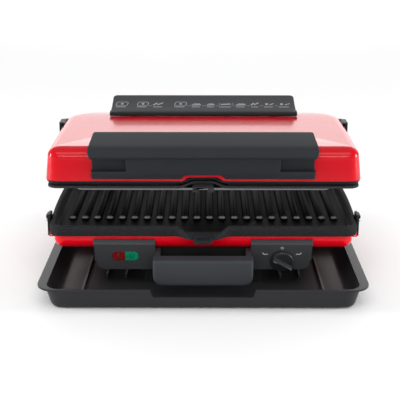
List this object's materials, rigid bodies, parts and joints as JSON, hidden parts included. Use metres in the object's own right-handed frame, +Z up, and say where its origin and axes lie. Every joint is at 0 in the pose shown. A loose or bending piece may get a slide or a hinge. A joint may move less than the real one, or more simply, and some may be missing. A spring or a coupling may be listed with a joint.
{
  "type": "panini press",
  "caption": "Countertop contact grill with ridged plates, a floating lid raised level, a selector knob and a pull-out drip tray.",
  "frame": {"origin": "on the table, under the centre of the grill's overall box, with the drip tray partly drawn out", "axes": "+X to the right, +Y to the rear (the front faces -Y), +Z up"},
  "size_m": [0.3616, 0.32, 0.1854],
  "materials": {
    "red_gloss": "high-gloss red moulding",
    "black_plastic": "matt black moulding",
    "grey_plastic": "satin dark grey moulding",
    "plate_coating": "dark non-stick coating on cast aluminium",
    "rubber": "soft black rubber",
    "red_window": "clear red plastic",
    "green_window": "clear green plastic",
    "steel": "plain steel",
    "circuit": "green circuit board",
    "ceramic": "pale insulating moulding"
  },
  "bodies": {
    "base": {"base_shell": "red_gloss", "base_cover": "black_plastic", "rear_housing": "black_plastic", "front_feet": "rubber", "rear_feet": "rubber", "cord_gland": "black_plastic", "terminal_block": "ceramic", "lower_plate": "plate_coating", "lower_element": "steel", "lower_reflector": "steel", "indicator_panel": "grey_plastic", "control_panel": "grey_plastic", "red_lens": "red_window", "green_lens": "green_window", "lamp_board": "circuit", "selector_switch": "ceramic", "front_handle": "grey_plastic", "base_screws": "steel", "lower_latch_pins": "steel"},
    "selector": {"selector_knob": "black_plastic", "selector_shaft": "steel"},
    "left_plate_latch": {"lower_latch_left": "black_plastic", "lower_rivet_left": "steel"},
    "right_plate_latch": {"lower_latch_right": "black_plastic", "lower_rivet_right": "steel"},
    "hinge_carriage": {"hinge_leg_left": "steel", "hinge_leg_right": "steel", "hinge_rod": "steel", "hinge_caps": "black_plastic"},
    "lid": {"lid_shell": "red_gloss", "lid_frame": "black_plastic", "lid_handle": "grey_plastic", "upper_plate": "plate_coating", "upper_element": "steel", "upper_reflector": "steel", "thermal_limiter": "steel", "guide_panel": "grey_plastic", "guide_brackets": "grey_plastic", "lid_screws": "steel", "handle_screws": "steel", "upper_latch_pins": "steel"},
    "left_lid_latch": {"upper_latch_left": "black_plastic"},
    "right_lid_latch": {"upper_latch_right": "black_plastic"},
    "tray": {"drip_tray": "black_plastic"}
  },
  "joints": [
    {"name": "lid_lift", "type": "slide", "parent": "base", "child": "hinge_carriage", "axis": [0, 0, 1], "range_m": [-0.043, 0]},
    {"name": "lid_open", "type": "hinge", "parent": "hinge_carriage", "child": "lid", "pos_m": [0, 0.148, 0.1183], "axis": [-1, 0, 0], "range_deg": [0, 180]},
    {"name": "tray_slide", "type": "slide", "parent": "base", "child": "tray", "axis": [0, 1, 0], "range_m": [-0.1, 0.035]},
    {"name": "selector_turn", "type": "hinge", "parent": "base", "child": "selector", "pos_m": [0.0875, -0.09724, 0.037], "axis": [0, 0.961, 0.2766], "range_deg": [0, 116]},
    {"name": "left_plate_latch_turn", "type": "hinge", "parent": "base", "child": "left_plate_latch", "pos_m": [-0.1712, -0.06, 0.0586], "axis": [0, -1, 0], "range_deg": [0, 14], "stiffness_Nm_per_rad": 0.05, "springref_deg": -2.86},
    {"name": "right_plate_latch_turn", "type": "hinge", "parent": "base", "child": "right_plate_latch", "pos_m": [0.1712, -0.06, 0.0586], "axis": [0, 1, 0], "range_deg": [0, 14], "stiffness_Nm_per_rad": 0.05, "springref_deg": -2.86},
    {"name": "left_lid_latch_turn", "type": "hinge", "parent": "lid", "child": "left_lid_latch", "pos_m": [-0.174, 0.08, 0.1545], "axis": [0, 1, 0], "range_deg": [0, 10], "stiffness_Nm_per_rad": 0.05, "springref_deg": -2.86},
    {"name": "right_lid_latch_turn", "type": "hinge", "parent": "lid", "child": "right_lid_latch", "pos_m": [0.174, 0.08, 0.1545], "axis": [0, -1, 0], "range_deg": [0, 10], "stiffness_Nm_per_rad": 0.05, "springref_deg": -2.86}
  ]
}
